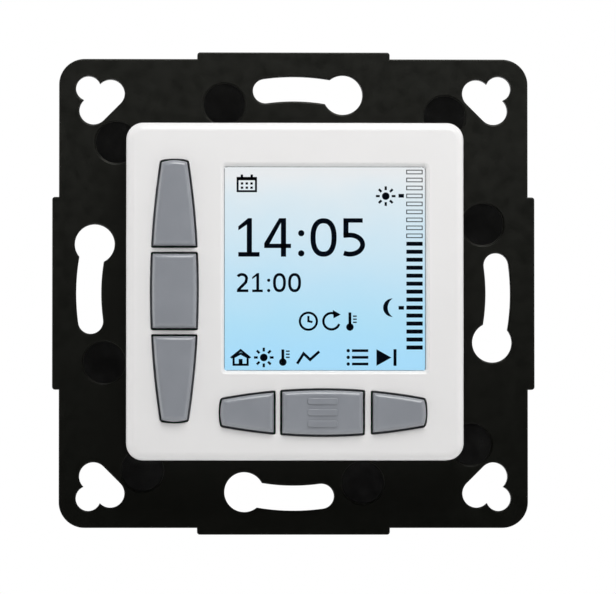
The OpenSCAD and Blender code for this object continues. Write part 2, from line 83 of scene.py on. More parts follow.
PLATE_W = 69.4
PLATE_CORNER_R = 3.8
PLATE_EDGE_R = 0.22
PLATE_BACK_EDGE_R = 0.12
TAB_W = 28.5
TAB_CORNER_R = 0.4
SLOT_PATH_R = 30.3
SLOT_W = 3.7
SLOT_HEAD_R = 2.95
SLOT_HEAD_ANGLE = 90 - 13.9
SLOT_END_ANGLE = 90 + 7.9
SLOT_EDGE_R = 0.28
SLOT_BACK_EDGE_R = 0.1
SINK_MARK_PLACES = [(-10.25, 28), (-26.2, 22.35)]
SINK_MARK_R = 3.2
SINK_MARK_DEPTH = 0.5
HOUSING_HALF_W = 25
HOUSING_R = 28.5
WELL_INSET = 4
WELL_OUTSIDE_INSET = 2.5
WELL_FLOOR_Y = 3.2
WELL_BACK_Y = 4.7
SEAT_Y = -0.6
SCREW_OFFSET = 15.4
BOSS_R = 2.4

COVER_CORNER_R = 2.5
COVER_INNER_CORNER_R = 1.2
COVER_EDGE_R = 1.3
COVER_WALL = 1.6
FACE_THICK = 1.8
INNER_FACE_Y = FACE_Y + FACE_THICK
OPENING_EDGE_R = 0.1
WINDOW_EDGE_R = 0.9
LENS_FLANGE = 0.7
UNLIT_BORDER = 0.08
FACE_ON_GLOSS = 0.008

KEY_GAP = 0.3
KEY_TOP_Y = node_box("key_side_middle")[0][1]
KEY_EDGE_R = 0.7
KEY_CROWN = 0.2
CROWN_HALF_W = 3.5
CROWN_R = (CROWN_HALF_W ** 2 + KEY_CROWN ** 2) / (2 * KEY_CROWN)
FLANGE_REACH = 0.5
FLANGE_THICK = 0.8
STEM_R = 1.2
MARK_RISE = 0.15
MARK_EDGE_R = 0.1
MARK_BAR = (4.4, 0.95)
MARK_BAR_R = 0.3
MARK_PITCH = 1.65
KEY_END_R = 6.5
KEY_CORNER_R = 0.25
SIDE_KEYS = ["key_side_top", "key_side_middle", "key_side_bottom"]
ROW_KEYS = ["key_row_left", "key_row_middle", "key_row_right"]
STEM_PLACES = {name: node_middle(f"switch_plunger_{i + 1}") for i, name in enumerate(SIDE_KEYS + ROW_KEYS)}
HEADER_PLACE = node_middle("socket_header")
HEADER_SLOT = (14, 7)


# ---- Outlines: closed lines of (x, z) points, in millimetres ----

def rounded_rect(centre, w, h, r, steps):
    """A rectangle with round corners, going round from its right side."""
    points = []
    for corner in range(4):
        start = corner * FULL_TURN / 4
        sx = 1 if corner in (0, 3) else -1
        sz = 1 if corner in (0, 1) else -1
        for i in range(steps + 1):
            a = start + i / steps * FULL_TURN / 4
            x = centre[0] + sx * (w / 2 - r) + r * math.cos(a)
            z = centre[1] + sz * (h / 2 - r) + r * math.sin(a)
            points.append((x, z))
    return np.array(points)


def circle(centre, r, steps):
    angles = np.arange(steps) / steps * FULL_TURN
    return np.stack([centre[0] + r * np.cos(angles), centre[1] + r * np.sin(angles)], axis=1)


def arc(centre, rx, rz, start, end, steps):
    """Points along part of an ellipse, angles in degrees, 0 to the right and 90 up."""
    angles = np.radians(np.linspace(start, end, steps + 1))
    return [(centre[0] + rx * math.cos(a), centre[1] + rz * math.sin(a)) for a in angles]


def turned(points, degrees):
    a = math.radians(degrees)
    turn = np.array([[math.cos(a), math.sin(a)], [-math.sin(a), math.cos(a)]])
    return np.array(points) @ turn


def direction(centre, point):
    return math.degrees(math.atan2(point[1] - centre[1], point[0] - centre[0]))


def without_repeats(points):
    points = np.array(points, float)
    gap = np.hypot(*(points - np.roll(points, 1, axis=0)).T)
    return points[gap > 1e-4]


def unit(vectors):
    return vectors / np.hypot(vectors[:, 0], vectors[:, 1])[:, None]


def side_lines(path, width, closed):
    """The two lines that run half a width to the left and right of a path."""
    path = np.array(path, float)
    before = np.roll(path, 1, axis=0)
    after = np.roll(path, -1, axis=0)
    if not closed:
        before[0] = 2 * path[0] - path[1]
        after[-1] = 2 * path[-1] - path[-2]
    into = unit(path - before)
    out = unit(after - path)
    along = unit(into + out)
    side = np.stack([-along[:, 1], along[:, 0]], axis=1)
    square_on = (side * np.stack([-into[:, 1], into[:, 0]], axis=1)).sum(axis=1)
    offset = side * (width / 2 / np.maximum(square_on, 0.35))[:, None]
    return path + offset, path - offset


def inset_outline(outline, inset):
    """An outline moved inwards, or outwards where inset is negative."""
    return side_lines(outline, 2 * inset, True)[0]


def plate_outline():
    """The plate's edge: a rounded square with a low tab along the middle of each side."""
    half = PLATE_W / 2
    tab_edge = (PLATE_HIGH[0] - PLATE_LOW[0]) / 2
    tab_half = TAB_W / 2
    r = TAB_CORNER_R
    quarter = [(half, -tab_half)]
    quarter += arc((tab_edge - r, r - tab_half), r, r, -90, 0, 5)
    quarter += arc((tab_edge - r, tab_half - r), r, r, 0, 90, 5)
    quarter += [(half, tab_half)]
    corner = half - PLATE_CORNER_R
    quarter += arc((corner, corner), PLATE_CORNER_R, PLATE_CORNER_R, 0, 90, 20)
    return without_repeats(np.concatenate([turned(quarter, t) for t in QUARTER_TURNS]))


def keyhole_outline():
    """The slot at the top: it follows a circle and has a round entry at its right end."""
    path_r, half_w, head_r = SLOT_PATH_R, SLOT_W / 2, SLOT_HEAD_R
    head_angle, end_angle = SLOT_HEAD_ANGLE, SLOT_END_ANGLE
    head = np.array(arc((0, 0), path_r, path_r, head_angle, head_angle, 1)[0])
    end = arc((0, 0), path_r, path_r, end_angle, end_angle, 1)[0]
    meets = []
    for r in (path_r + half_w, path_r - half_w):
        lead = (r * r + path_r * path_r - head_r * head_r) / (2 * r * path_r)
        meets.append(head_angle + math.degrees(math.acos(lead)))
    points = arc((0, 0), path_r + half_w, path_r + half_w, meets[0], end_angle, 12)
    points += arc(end, half_w, half_w, end_angle, end_angle + 180, 16)
    points += arc((0, 0), path_r - half_w, path_r - half_w, end_angle, meets[1], 12)
    start = direction(head, points[-1]) % 360
    stop = direction(head, points[0]) % 360 + 360
    points += arc(head, head_r, head_r, start, stop, 36)
    return without_repeats(points)


def clover_outline():
    """The three-lobed hole in the top right corner."""
    tip, lower, upper = np.array((30.35, 30.35)), np.array((29.6, 27.1)), np.array((27.1, 29.6))
    tip_r, lobe_r = 1.85, 2.1
    apart = np.hypot(*(tip - lower))
    along = (lobe_r ** 2 - tip_r ** 2 + apart ** 2) / (2 * apart)
    across = math.sqrt(lobe_r ** 2 - along ** 2)
    step = (tip - lower) / apart
    lower_meet = lower + along * step + across * np.array((step[1], -step[0]))
    upper_meet = lower_meet[::-1]
    points = arc(lower, lobe_r, lobe_r, -135, direction(lower, lower_meet), 20)
    points += arc(tip, tip_r, tip_r, direction(tip, lower_meet), direction(tip, upper_meet), 20)
    points += arc(upper, lobe_r, lobe_r, direction(upper, upper_meet), 225, 20)
    return without_repeats(points)


def housing_outline(grow):
    """A square cut by a circle at its corners."""
    half = HOUSING_HALF_W + grow
    r = HOUSING_R + grow
    meet = math.degrees(math.acos(half / r))
    points = []
    for turn in QUARTER_TURNS:
        points += arc((0, 0), r, r, turn + meet, turn + 90 - meet, 14)
    return np.array(points)


def soft_depth(gaps, corner_r):
    """How deep points lie inside a shape, from their gaps to each of its edges, corners rounded."""
    lack = np.maximum(corner_r - gaps, 0)
    rounded = corner_r - np.sqrt((lack ** 2).sum(axis=0))
    return np.where(lack.any(axis=0), rounded, gaps.min(axis=0))


class KeyShape:
    """A key's outline: a long lens with round ends, cut straight by the ribs beside it."""

    FIRST_ANGLES = 1440
    EVEN_ANGLES = 200
    HALVINGS = 36

    def __init__(self, upright, lens_centre, half_w, half_l, side_r, limits, middle):
        self.upright = upright
        self.lens_centre = np.array(lens_centre)
        self.half_w = half_w
        self.half_l = half_l
        self.side_r = side_r
        self.limits = limits
        self.middle = np.array(middle)
        self.angles = np.arange(self.FIRST_ANGLES) / self.FIRST_ANGLES * FULL_TURN
        self.angles = self.even_angles(self.EVEN_ANGLES)

    def depth(self, points):
        across, along = (points - self.lens_centre).T
        if not self.upright:
            across, along = along, across
        reach = self.side_r - self.half_w
        end = self.half_l - KEY_END_R
        past_end = np.abs(along) - end
        gaps = [
            self.side_r - np.hypot(across + reach, along),
            self.side_r - np.hypot(across - reach, along),
            np.where(past_end > 0, KEY_END_R - np.hypot(across, past_end), KEY_END_R),
            along - self.limits[0],
            self.limits[1] - along,
        ]
        return soft_depth(np.array(gaps), KEY_CORNER_R)

    def outline(self, inset):
        """The line that lies inset millimetres inside the opening, or outside it if inset is negative."""
        directions = np.stack([np.cos(self.angles), np.sin(self.angles)], axis=1)
        near = np.zeros(len(self.angles))
        far = np.full(len(self.angles), 2 * self.half_l)
        for _ in range(self.HALVINGS):
            halfway = (near + far) / 2
            inside = self.depth(self.middle + directions * halfway[:, None]) > inset
            near = np.where(inside, halfway, near)
            far = np.where(inside, far, halfway)
        return self.middle + directions * near[:, None]

    def even_angles(self, count):
        """Angles that follow the outline evenly, and closer together where it turns."""
        points = self.outline(0)
        steps = np.roll(points, -1, axis=0) - points
        heading = np.arctan2(steps[:, 1], steps[:, 0])
        turning = np.abs((np.roll(heading, -1) - heading + math.pi) % FULL_TURN - math.pi)
        spacing, turn_each = 0.5, math.radians(7)
        pace = np.hypot(steps[:, 0], steps[:, 1]) / spacing + np.roll(turning, 1) / turn_each
        travelled = np.concatenate([[0], np.cumsum(pace)])
        wanted = np.arange(count) / count * travelled[-1]
        return np.interp(wanted, travelled, np.append(self.angles, FULL_TURN))


# ---- Building meshes ----

def crossed_an_odd_number(lines, point):
    """Whether a ray to the right of the point crosses an odd number of the lines, so it is inside them."""
    (x1, z1), (x2, z2) = lines[:, 0].T, lines[:, 1].T
    spans = (z1 > point[1]) != (z2 > point[1])
    rise = np.where(spans, z2 - z1, 1)
    reach = (x2 - x1) * (point[1] - z1) / rise + x1
    return np.count_nonzero(spans & (point[0] < reach)) % 2 == 1


class Shell:
    """A mesh, in millimetres until it is finished, made of rings at given depths, walls and flat fills."""

    def __init__(self):
        self.bm = bmesh.new()
        self.level = self.bm.faces.layers.int.new("level")
        self.slot = 0

    def ring(self, outline, y):
        depths = np.broadcast_to(y, len(outline))
        return [self.bm.verts.new((x, d, z)) for (x, z), d in zip(outline, depths)]

    def wall(self, a, b):
        for i in range(len(a)):
            j = (i + 1) % len(a)
            self.bm.faces.new((a[i], a[j], b[j], b[i]))

    def walls(self, rings):
        for a, b in zip(rings, rings[1:]):
            self.wall(a, b)

    def face_edge(self, outline_at, face_y, r):
        """Rings over the rounded edge of a face; outline_at gives the edge's line at each inset."""
        steps = 4
        profile = reversed(quarter_round(r, steps))
        return [self.ring(outline_at(inset), face_y + r - rise) for inset, rise in profile]

    def fan(self, ring, x, y, z):
        centre = self.bm.verts.new((x, y, z))
        for i in range(len(ring)):
            self.bm.faces.new((ring[i], ring[(i + 1) % len(ring)], centre))

    def flat(self, *rings):
        """Fills the flat area between an outer ring and any holes in it."""
        verts = [vert for ring in rings for vert in ring]
        places = [Vector((vert.co.x, vert.co.z)) for vert in verts]
        edges = []
        for ring in rings:
            start = len(edges)
            edges += [(start + i, start + (i + 1) % len(ring)) for i in range(len(ring))]
        filled = delaunay_2d_cdt(places, edges, [], TRIANGLES_INSIDE, 1e-6)
        spots, faces, sources = np.array(filled[0]), filled[2], filled[3]
        lines = np.array(places)[np.array(edges)]
        for face in faces:
            if crossed_an_odd_number(lines, spots[face].mean(axis=0)):
                filled_face = self.bm.faces.new([verts[sources[i][0]] for i in face])
                filled_face.material_index = self.slot
                filled_face[self.level] = 1

    def prism(self, outline, y_front, y_back):
        """A solid with flat faces at both depths."""
        front = self.ring(outline, y_front)
        back = self.ring(outline, y_back)
        self.wall(front, back)
        self.flat(front)
        self.flat(back)

    def piece(self, name, material, smooth=True):
        bmesh.ops.recalc_face_normals(self.bm, faces=self.bm.faces[:])
        level = [face[self.level] == 1 for face in self.bm.faces]
        mesh = bpy.data.meshes.new(name)
        self.bm.to_mesh(mesh)
        self.bm.free()
        if smooth:
            set_even_normals(mesh, level)
        mesh.transform(Matrix.Scale(MM, 4))
        obj = bpy.data.objects.new(name, mesh)
        bpy.context.scene.collection.objects.link(obj)
        mesh.materials.append(material)
        return obj


def set_even_normals(mesh, level):
    """Level faces shade flat, and faces that meet them gently take up their direction."""
    faces_at = [[] for _ in mesh.vertices]
    for polygon in mesh.polygons:
        polygon.use_smooth = True
        for vertex in polygon.vertices:
            faces_at[vertex].append(polygon.index)
    faces = [polygon.normal.copy() for polygon in mesh.polygons]
    closest = math.cos(math.radians(USUAL_CREASE))
    normals = []
    for polygon in mesh.polygons:
        own = faces[polygon.index]
        for vertex in polygon.vertices:
            near = [i for i in faces_at[vertex] if faces[i].dot(own) > closest]
            chosen = [i for i in near if level[i]] or near
            total = sum((faces[i] for i in chosen), Vector())
            normals.append(total.normalized())
    mesh.normals_split_custom_set(normals)


def quarter_round(r, steps):
    """(inset, rise) pairs from the side of an edge to its face."""
    return [(r - r * math.cos(i / steps * FULL_TURN / 4), r * math.sin(i / steps * FULL_TURN / 4))
            for i in range(steps + 1)]


# ---- Materials ----

def new_material(name):
    material = bpy.data.materials.new(name)
    material.use_nodes = True
    nodes = material.node_tree.nodes
    nodes.clear()
    output = nodes.new("ShaderNodeOutputMaterial")
    shader = nodes.new("ShaderNodeBsdfPrincipled")
    material.node_tree.links.new(shader.outputs["BSDF"], output.inputs["Surface"])
    return material, nodes, material.node_tree.links, shader


def preset(node, values):
    for name, value in values.items():
        node.inputs[name].default_value = value


def maths(nodes, links, operation, *values):
    """A maths node on values that are outputs of other nodes or plain numbers."""
    node = nodes.new("ShaderNodeMath")
    node.operation = operation
    for value, target in zip(values, node.inputs):
        if isinstance(value, bpy.types.NodeSocket):
            links.new(value, target)
        else:
            target.default_value = value
    return node.outputs["Value"]


def colour_ramp(nodes, links, factor, stops):
    """Colours between (position, colour) stops."""
    node = nodes.new("ShaderNodeValToRGB")
    elements = node.color_ramp.elements
    while len(elements) < len(stops):
        elements.new(0.5)
    for element, (position, colour) in zip(elements, stops):
        element.position = position
        element.color = (*colour, 1)
    links.new(factor, node.inputs["Fac"])
    return node.outputs["Color"]


def noise(nodes, links, place, scale, detail):
    node = nodes.new("ShaderNodeTexNoise")
    preset(node, {"Scale": scale, "Detail": detail, "Roughness": 0.55})
    links.new(place, node.inputs["Vector"])
    return node.outputs["Fac"]


def remap(nodes, links, value, low, high, from_low=0.3, from_high=0.7):
    node = nodes.new("ShaderNodeMapRange")
    preset(node, {"From Min": from_low, "From Max": from_high, "To Min": low, "To Max": high})
    links.new(value, node.inputs["Value"])
    return node.outputs["Result"]


def blend_colours(nodes, links, factor, low, high):
    node = nodes.new("ShaderNodeMix")
    node.data_type = "RGBA"
    preset(node, {"A": (*low, 1), "B": (*high, 1)})
    links.new(factor, node.inputs["Factor"])
    return node.outputs["Result"]


def bump(nodes, links, height, depth_mm, below=None):
    node = nodes.new("ShaderNodeBump")
    preset(node, {"Strength": 1, "Distance": depth_mm * MM})
    links.new(height, node.inputs["Height"])
    if below:
        links.new(below, node.inputs["Normal"])
    return node.outputs["Normal"]


def object_place(nodes):
    return nodes.new("ShaderNodeTexCoord").outputs["Object"]


def shade(colour, factor):
    return tuple(min(c * factor, 1) for c in colour)


def surface(name, colour, roughness, metallic=0.0, specular=0.5, vary=0.08, mottle_mm=9.0,
            grain_mm=0.25, grain_depth=0.003, wave_depth=0.01, rough_vary=0.08, coat=0.0):
    """A moulded, cast or cut surface: uneven colour and gloss, fine grain and slow waves."""
    material, nodes, links, shader = new_material(name)
    place = object_place(nodes)
    slow = noise(nodes, links, place, 1 / (mottle_mm * MM), 4)
    fine = noise(nodes, links, place, 1 / (grain_mm * MM), 2)
    middle = noise(nodes, links, place, 4 / (mottle_mm * MM), 3)
    factor = remap(nodes, links, slow, 0, 1)
    tint = blend_colours(nodes, links, factor, shade(colour, 1 - vary), shade(colour, 1 + vary))
    links.new(tint, shader.inputs["Base Color"])
    gloss = remap(nodes, links, middle, max(roughness - rough_vary, 0.02), roughness + rough_vary)
    links.new(gloss, shader.inputs["Roughness"])
    waves = bump(nodes, links, middle, wave_depth)
    links.new(bump(nodes, links, fine, grain_depth, waves), shader.inputs["Normal"])
    preset(shader, {"Metallic": metallic, "Specular IOR Level": specular, "Coat Weight": coat,
                    "Coat Roughness": 0.12})
    return material


def plate_plastic(name):
    """The plate's black plastic: its gloss fades towards its lower edge, a painted shade that darkens the
    plate's lower part.
    """
    material = surface(name, (0.0014, 0.0016, 0.001), 0.43, vary=0.15, mottle_mm=7,
                       grain_depth=0.006, wave_depth=0.015, rough_vary=0.07)
    nodes, links = material.node_tree.nodes, material.node_tree.links
    split = nodes.new("ShaderNodeSeparateXYZ")
    links.new(object_place(nodes), split.inputs["Vector"])
    # Painted shade: the reflection weakens from the top of the plate down to its lower edge, so the plate
    # looks darker there.
    painted_shade_gloss = remap(nodes, links, split.outputs["Z"], 0.09, 0.26, -0.032, 0.022)
    links.new(painted_shade_gloss, nodes["Principled BSDF"].inputs["Specular IOR Level"])
    nodes["Principled BSDF"].inputs["Specular Tint"].default_value = (1, 1, 0.9, 1)
    return material


def winding(name, colour):
    """Enamelled wire wound round Y."""
    material = surface(name, colour, 0.3, metallic=0.7, vary=0.15)
    nodes, links = material.node_tree.nodes, material.node_tree.links
    bands = nodes.new("ShaderNodeTexWave")
    bands.bands_direction = "Y"
    preset(bands, {"Scale": 320, "Distortion": 0.6})
    links.new(object_place(nodes), bands.inputs["Vector"])
    shader = nodes["Principled BSDF"]
    links.new(bump(nodes, links, bands.outputs["Fac"], 0.05), shader.inputs["Normal"])
    return material


def board(name, colour):
    """Solder mask over copper tracks."""
    material = surface(name, colour, 0.35, vary=0.1, coat=0.3)
    nodes, links = material.node_tree.nodes, material.node_tree.links
    shader = nodes["Principled BSDF"]
    tracks = nodes.new("ShaderNodeTexBrick")
    tracks.offset = 0.37
    preset(tracks, {"Scale": 220, "Mortar Size": 0.06, "Color1": (*colour, 1),
                    "Color2": (*shade(colour, 0.85), 1), "Mortar": (*shade(colour, 1.7), 1)})
    turn = nodes.new("ShaderNodeMapping")
    turn.inputs["Rotation"].default_value = (FULL_TURN / 4, 0, 0)
    links.new(object_place(nodes), turn.inputs["Vector"])
    links.new(turn.outputs["Vector"], tracks.inputs["Vector"])
    links.new(tracks.outputs["Color"], shader.inputs["Base Color"])
    return material


def clear(name, tint, roughness):
    """A thin clear moulding: mostly see-through, with a gloss that grows at grazing angles."""
    material, nodes, links, shader = new_material(name)
    nodes.remove(shader)
    through = nodes.new("ShaderNodeBsdfTransparent")
    through.inputs["Color"].default_value = (*tint, 1)
    gloss = nodes.new("ShaderNodeBsdfGlossy")
    place = object_place(nodes)
    haze = noise(nodes, links, place, 1 / (6 * MM), 3)
    links.new(remap(nodes, links, haze, roughness * 0.6, roughness * 1.4), gloss.inputs["Roughness"])
    waves = bump(nodes, links, haze, 0.01)
    links.new(waves, gloss.inputs["Normal"])
    grazing = nodes.new("ShaderNodeLayerWeight")
    grazing.inputs["Blend"].default_value = 0.5
    edge = maths(nodes, links, "POWER", grazing.outputs["Facing"], 5)
    reflected = remap(nodes, links, edge, FACE_ON_GLOSS, 1, 0, 1)
    mix = nodes.new("ShaderNodeMixShader")
    links.new(reflected, mix.inputs["Fac"])
    links.new(through.outputs["BSDF"], mix.inputs[1])
    links.new(gloss.outputs["BSDF"], mix.inputs[2])
    links.new(mix.outputs["Shader"], nodes["Material Output"].inputs["Surface"])
    return material


def lit_area(nodes, links, split):
    """1 on the lit part of the display, and 0 on the narrow border round it."""
    lit = []
    for k in (AXIS_X, AXIS_Z):
        centre = (LENS_LOW[k] + LENS_HIGH[k]) / 2
        reach = (LENS_HIGH[k] - LENS_LOW[k]) / 2 - LENS_FLANGE - UNLIT_BORDER
        lit.append(maths(nodes, links, "COMPARE", split.outputs[k], centre * MM, reach * MM))
    return maths(nodes, links, "MULTIPLY", *lit)


# How far up the display a colour lies, and the colour
FILM_STOPS = [
    (0.09, (0.38, 0.71, 0.94)),
    (0.23, (0.42, 0.73, 0.91)),
    (0.43, (0.50, 0.75, 0.90)),
    (0.62, (0.60, 0.78, 0.88)),
    (0.82, (0.71, 0.81, 0.86)),
    (0.94, (0.82, 0.84, 0.85)),
]


def lit_film(name):
    """The lit display: nearly white at its top and sky blue further down, a little uneven."""
    material, nodes, links, shader = new_material(name)
    place = object_place(nodes)
    split = nodes.new("ShaderNodeSeparateXYZ")
    links.new(place, split.inputs["Vector"])
    uneven = noise(nodes, links, place, 1 / (11 * MM), 3)
    shift = remap(nodes, links, uneven, -0.04, 0.04)
    height = remap(nodes, links, split.outputs["Z"], 0, 1, LENS_LOW[2] * MM, LENS_HIGH[2] * MM)
    total = maths(nodes, links, "ADD", height, shift)
    links.new(colour_ramp(nodes, links, total, FILM_STOPS), shader.inputs["Emission Color"])
    links.new(lit_area(nodes, links, split), shader.inputs["Emission Strength"])
    preset(shader, {"Base Color": (0.005, 0.006, 0.007, 1), "Roughness": 0.6})
    return material


# The material slots with a plain surface
SURFACES = {
    "housing_plastic": dict(colour=(0.01, 0.01, 0.01), roughness=0.5, specular=0.35, vary=0.1,
                            mottle_mm=14, grain_depth=0.008, wave_depth=0.006, rough_vary=0.04),
    "zinc_steel": dict(colour=(0.62, 0.62, 0.6), roughness=0.32, metallic=1, vary=0.12, mottle_mm=2),
    "black_plastic": dict(colour=(0.012, 0.012, 0.013), roughness=0.42, vary=0.15),
    "block_plastic": dict(colour=(0.035, 0.037, 0.04), roughness=0.45, vary=0.12),
    "contact_brass": dict(colour=(0.72, 0.47, 0.2), roughness=0.28, metallic=1, vary=0.1, mottle_mm=2),
    "bobbin_plastic": dict(colour=(0.68, 0.64, 0.55), roughness=0.5),
    "relay_iron": dict(colour=(0.42, 0.41, 0.39), roughness=0.38, metallic=1, vary=0.15, mottle_mm=2),
    "relay_cover_plastic": dict(colour=(0.02, 0.035, 0.08), roughness=0.35, coat=0.2),
    "film_yellow": dict(colour=(0.62, 0.4, 0.05), roughness=0.35, coat=0.2),
    "sleeve_blue": dict(colour=(0.01, 0.016, 0.07), roughness=0.3, coat=0.4),
    "varistor_blue": dict(colour=(0.03, 0.1, 0.4), roughness=0.35, coat=0.2, wave_depth=0.05),
    "fuse_glass": dict(colour=(0.75, 0.78, 0.76), roughness=0.2, metallic=0.4, coat=0.5),
    "resistor_green": dict(colour=(0.07, 0.22, 0.12), roughness=0.45, wave_depth=0.04),
    "cover_white": dict(colour=(0.76, 0.752, 0.746), roughness=0.34, vary=0.012, specular=0.45,
                        mottle_mm=14, grain_mm=0.3, grain_depth=0.0012, wave_depth=0.004,
                        rough_vary=0.02),
    "frame_white": dict(colour=(0.8, 0.8, 0.78), roughness=0.45),
    "guide_clear": dict(colour=(0.8, 0.88, 0.92), roughness=0.15, coat=0.5),
    "led_yellow": dict(colour=(0.8, 0.74, 0.3), roughness=0.4),
    "zebra_rubber": dict(colour=(0.45, 0.16, 0.13), roughness=0.6),
    "plunger_red": dict(colour=(0.5, 0.04, 0.03), roughness=0.4),
    "key_grey": dict(colour=(0.225, 0.238, 0.262), roughness=0.42, vary=0.04, specular=0.5, mottle_mm=5,
                     grain_depth=0.002, wave_depth=0.006, coat=0.7),
}


def make_looks():
    """One material for each of the record's material slots."""
    looks = {name: surface(name, **look) for name, look in SURFACES.items()}
    looks["plate_plastic"] = plate_plastic("plate_plastic")
    looks["board_green"] = board("board_green", (0.02, 0.13, 0.05))
    looks["winding_copper"] = winding("winding_copper", (0.5, 0.17, 0.06))
    looks["clear_window"] = clear("clear_window", (0.985, 0.99, 0.995), 0.06)
    looks["display_blue"] = lit_film("display_blue")
    return looks


# From how many degrees an edge counts as sharp, and how wide it is softened, in millimetres
CREASES = {
    "rear_housing": 22,
    "back_shell": 22,
}
BEVELS = {
    "rear_housing": 0.25,
    "back_shell": 0.15,
    "terminal_block": 0.15,
    "film_capacitor": 0.3,
    "relay_cover": 0.3,
    "display_window": 0.05,
}


def edge_bevel(obj, width_mm, crease_degrees):
    """Softens a CAD node's sharp edges and keeps its flat faces flat."""
    weld = obj.modifiers.new("join shared points", "WELD")
    weld.merge_threshold = 0.001 * MM
    flatten = obj.modifiers.new("join level faces", "DECIMATE")
    flatten.decimate_type = "DISSOLVE"
    flatten.angle_limit = math.radians(0.5)
    bevel = obj.modifiers.new("soft edges", "BEVEL")
    bevel.width = width_mm * MM
    bevel.segments = 2
    bevel.limit_method = "ANGLE"
    bevel.angle_limit = math.radians(crease_degrees)
    bevel.use_clamp_overlap = False
    bevel.harden_normals = False
    normals = obj.modifiers.new("flat faces stay flat", "WEIGHTED_NORMAL")
    normals.weight = 90
    normals.keep_sharp = True


def dress_cad_nodes(looks):
    """Gives every CAD node that is still shown its material and softened edges."""
    slots = {entry["node"]: entry["material_slot"] for entry in frame["record"]["subparts"]}
    for name, obj in frame["nodes"].items():
        slot = slots[name]
        obj.data.materials.clear()
        obj.data.materials.append(looks[slot])
        for polygon in obj.data.polygons:
            polygon.use_smooth = True
        if not obj.hide_render:
            edge_bevel(obj, BEVELS.get(name, USUAL_BEVEL), CREASES.get(name, USUAL_CREASE))


# ---- The plate, the cover and the keys ----

# The keys of one lens, whether it is upright, its half width, half length and the radius of its sides
KEY_GROUPS = [
    (SIDE_KEYS, True, 3.57, 19.45, 125.7),
    (ROW_KEYS, False, 3.54, 15.36, 80),
]


def make_key_shapes():
    """Each key's outline, placed by its CAD node."""
    shapes = {}
    for names, upright, half_w, half_l, side_r in KEY_GROUPS:
        centre = node_middle(*names)
        along, axis = (1, AXIS_Z) if upright else (0, AXIS_X)
        for name in names:
            low, high = node_box(name)
            limits = (low[axis] - KEY_GAP - centre[along], high[axis] + KEY_GAP - centre[along])
            middle = list(centre)
            middle[along] = node_middle(name)[along]
            shapes[name] = KeyShape(upright, centre, half_w, half_l, side_r, limits, middle)
    return shapes


def window_outline(grow):
    centre = node_middle("display_window")
    w = LENS_HIGH[0] - LENS_LOW[0] - 2 * LENS_FLANGE
    h = LENS_HIGH[2] - LENS_LOW[2] - 2 * LENS_FLANGE
    return rounded_rect(centre, w + 2 * grow, h + 2 * grow, 0.4 + max(grow, 0) * 0.5, 6)


def window_profile():
    """(grow, sink) pairs down the window's rounded edge."""
    steps = 8
    centre = 0.95 * WINDOW_EDGE_R
    start = math.acos(centre / WINDOW_EDGE_R)
    turns = [start + i / steps * (FULL_TURN / 4 - 2 * start) for i in range(steps + 1)]
    return [(centre - WINDOW_EDGE_R * math.sin(t), centre - WINDOW_EDGE_R * math.cos(t)) for t in turns]


def cover_outline(inset):
    return rounded_rect((0, 0), FRONT_W - 2 * inset, FRONT_W - 2 * inset, COVER_CORNER_R - inset, 14)


def make_cover(shapes, look):
    """The white cover: one skin outside and inside, open at its back."""
    shell = Shell()
    back_y = COVER_HIGH[1]
    back_edge = ((0.2, 0), (0.05, 0.05), (0, 0.2))
    outside = [shell.ring(cover_outline(inset), back_y - rise) for inset, rise in back_edge]
    for inset, rise in quarter_round(COVER_EDGE_R, 12):
        outside.append(shell.ring(cover_outline(inset), FACE_Y + COVER_EDGE_R - rise))
    shell.walls(outside)
    inner_w = FRONT_W - 2 * COVER_WALL
    inner_outline = rounded_rect((0, 0), inner_w, inner_w, COVER_INNER_CORNER_R, 8)
    inside = [shell.ring(inner_outline, y) for y in (back_y, INNER_FACE_Y)]
    shell.walls(inside)
    shell.flat(outside[0], inside[0])
    front_holes = []
    inner_holes = []
    for shape in shapes.values():
        rings = shell.face_edge(lambda grow: shape.outline(-grow), FACE_Y, OPENING_EDGE_R)
        rings.append(shell.ring(shape.outline(0), INNER_FACE_Y))
        shell.walls(rings)
        front_holes.append(rings[0])
        inner_holes.append(rings[-1])
    rings = [shell.ring(window_outline(grow), FACE_Y + sink) for grow, sink in window_profile()]
    rings.append(shell.ring(window_outline(0), INNER_FACE_Y))
    shell.walls(rings)
    front_holes.append(rings[0])
    inner_holes.append(rings[-1])
    shell.flat(outside[-1], *front_holes)
    shell.flat(inside[-1], *inner_holes)
    cover = shell.piece("cover", look)
    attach(cover, "front_unit")
    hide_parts("front_cover")


def cut_through(shell, outline, front_y):
    """A hole through the plate with rounded edges; returns its front and back rings."""
    rings = shell.face_edge(lambda grow: inset_outline(outline, -grow), front_y, SLOT_EDGE_R)
    rings += [shell.ring(inset_outline(outline, -grow), rise - SLOT_BACK_EDGE_R)
              for grow, rise in quarter_round(SLOT_BACK_EDGE_R, 3)]
    shell.walls(rings)
    return rings[0], rings[-1]


def sink_mark(shell, centre, face_y):
    """A shallow round recess with soft edges; returns the ring in the face."""
    rim_r, floor_r = 0.2, 0.15
    rings = shell.face_edge(lambda grow: circle(centre, SINK_MARK_R + grow, 48), face_y, rim_r)
    rings += [shell.ring(circle(centre, SINK_MARK_R - inset, 48), face_y + SINK_MARK_DEPTH - floor_r + rise)
              for inset, rise in quarter_round(floor_r, 3)]
    shell.walls(rings)
    shell.slot = 1
    shell.flat(rings[-1])
    shell.slot = 0
    return rings[0]


def screw_hole(shell, place, end_y):
    """A countersunk hole; returns its rings in the well's floor and in its boss."""
    profile = ((2.25, 0), (2.15, 0.06), (1.15, 1.1), (1.15, end_y - WELL_FLOOR_Y))
    rings = [shell.ring(circle(place, r, 40), WELL_FLOOR_Y + depth) for r, depth in profile]
    shell.walls(rings)
    return rings[0], rings[-1]


